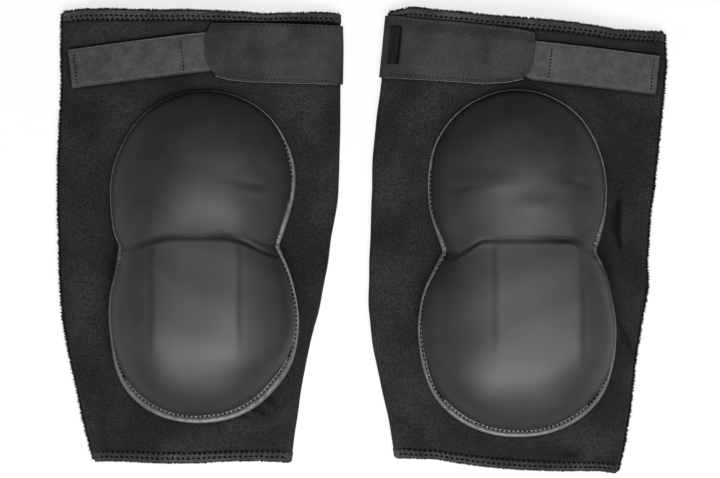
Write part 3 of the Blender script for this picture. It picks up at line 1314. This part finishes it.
# %% Stitching of the tabs
tab_pitch, border_thread, end_thread = 2.1, (1.1, 0.7), (1.3, 0.9)
for side in (LEFT, RIGHT):
    end = hinge_at + tab_length[side]
    first, last = (15.5, 10.2)[side], end - 3.4
    half = tab_width / 2 - 1.7
    runs = [np.array([(s, w) for s in np.arange(first, last, 0.5)]) for w in (half, -half)]
    runs += [np.array([(s, w) for w in np.arange(-half, half, 0.5)]) for s in (first, last)]
    rows = []
    for run in runs:
        x, y = strap_plan(side, run[:, 0], run[:, 1])
        z = strap_base(side, run[:, 0], run[:, 1]) + tab_thick + 0.02
        rows.append(along_path(np.stack([x, y, z], -1), tab_pitch))
    for which, seams, thread, finish in (("border", rows[:2], border_thread, grey_thread),
                                         ("end", rows[2:], end_thread, dark_thread)):
        places, headings = (np.concatenate([row[k] for row in seams]) for k in (0, 1))
        stitches(f"{SIDES[side]}_tab_{which}_stitches", side, places, headings, *thread,
                 finish, "strap_webbing", f"{SIDES[side]}_tab")

# %% [markdown]
# ## Hook tape
#
# The hook half of the fastener is a thin woven base with rows of small moulded hooks, which
# point down into the sleeve's knit when the tab is closed. They show when it is peeled, so each
# hook is a short tapered bow. The real ones stand 1 mm apart, and here they stand 1.6 mm apart.

# %% Hook tapes
hook_pitch, tape_thick, tape_lift = 1.6, 0.4, -0.52


def hook_field(side, stations, rows):
    """Small bows under the tape: points and faces."""
    s, w = np.meshgrid(stations, rows)
    s = (s + hook_pitch / 2 * (np.arange(len(rows)) % 2)[:, None]).ravel()
    w = w.ravel()
    base = strap_base(side, s, w) - 0.1 - 0.45
    points = []
    bow = [(0, 0, 0.26), (0.02, -0.35, 0.2), (0.25, -0.62, 0.17), (0.55, -0.45, 0.1)]
    ring = full_turn(4)
    for ds, dz, r in bow:
        for a in ring:
            x, y = strap_plan(side, s + ds + r * math.cos(a), w + r * math.sin(a))
            points.append(np.stack([x, y, base + dz], -1))
    points = np.array(points).transpose(1, 0, 2)
    one = [list(f) for f in grid_faces(4, 4, False, True)] + [[15, 14, 13, 12], [0, 1, 2, 3]]
    faces = [[i + 16 * n for i in f] for n in range(len(s)) for f in one]
    return points.reshape(-1, 3), faces


for side in (LEFT, RIGHT):
    pad = SIDES[side]
    start, stop = hinge_at + hook_start, hinge_at + tab_length[side] - 2
    stations = np.linspace(start, stop, 60)
    half = tab_width / 2 - 1.5
    tape = strap_body(f"{pad}_hook_tape_base", side, stations, np.full(60, half),
                      tape_thick, tape_lift, hook_plastic, 9)
    sew_on(tape, f"{pad}_tab", [f"{pad}_hook_tape"])
    points, faces = hook_field(side, np.arange(start + 1, stop - 1.4, hook_pitch),
                               np.arange(-half + 1, half - 0.8, hook_pitch))
    hooks = make(f"{pad}_hooks", side, points, faces, hook_plastic)
    sew_on(hooks, f"{pad}_tab")

# %% [markdown]
# ## Elastic and anchor patch
#
# The elastic lies hidden in the tunnel, from the tail's end to the seam at the inner edge, and
# stretches when the strap is pulled, so it blends from the sleeve to the tail. On the right pad
# a small dark patch with a zigzag border holds the tunnel's end down beside the inner edge.

# %% Elastic bands
elastic_half, elastic_thick, settle = 7.5, 1.5, 7
for side in (LEFT, RIGHT):
    pad = SIDES[side]
    low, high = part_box(f"{pad}_strap_elastic")
    x0, y0 = strap_plan(side, -tail_back - layer_gap, 0)
    far_x = min(mirror[side] * (x / MM - centre[side][0]) for x in (low.x, high.x)) + 0.5
    far_y = sleeve_top[side] - hem_depth - layer_gap - tunnel_width / 2 - end_tilt(side) * far_x
    f = np.linspace(0, 1, 40)[None, :]
    w = np.linspace(-elastic_half, elastic_half, 9)[:, None]
    x = x0 + (far_x - x0) * f + 0 * w
    y = y0 + (far_y - y0) * f + w
    ground = front_top(side, x, y) + layer_gap
    z = tail_z + (ground - tail_z) * soft_step(0, settle / (x0 - far_x), f)
    grid = np.stack([x, y, np.maximum(z, ground)], -1)
    band = shell(f"{pad}_elastic_band", side, grid + (0, 0, elastic_thick), grid, rib_elastic)
    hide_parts(f"{pad}_strap_elastic")
    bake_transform(band)
    print(band.name, "runs", round(float(x0 - far_x)), "mm to the inner edge")

# %% Anchor patch
patch_start, patch_width, patch_ends = 1.8, 6.6, (10, 32)
patch_pitch, patch_thread = 1.5, (1.1, 0.6)
depth = np.linspace(*patch_ends, 60)[:, None]
across = np.linspace(0, 1, 10)[None, :]
edge_x = sleeve_plan(RIGHT, depth / sleeve_length, -1.0)[0]
zigzag = 0.5 * np.sign(np.sin(depth * 4.2)) * (across > 0.95)
x = edge_x + patch_start + patch_width * across + zigzag
y = sleeve_top[RIGHT] - depth - end_tilt(RIGHT) * x
z = band_under(RIGHT, x, y) + band_thick + 0.1
upper = np.stack([x, y, z + 0.5 + 0.35 * np.sin(depth * 2.6) * np.sin(across * 9)], -1)
patch = shell("right_sewn_patch", RIGHT, upper, np.stack([x, y, z - 0.1], -1), backing_cloth)
sew_on(patch, replaces=["right_anchor_patch"])
rim = np.concatenate([upper[0], upper[1:, -1], upper[-1, ::-1][1:], upper[::-1, 0][1:]])
places, headings = along_path(rim, patch_pitch)
stitches("right_patch_stitches", RIGHT, places, headings, *patch_thread, dark_thread,
         "backing_cloth")
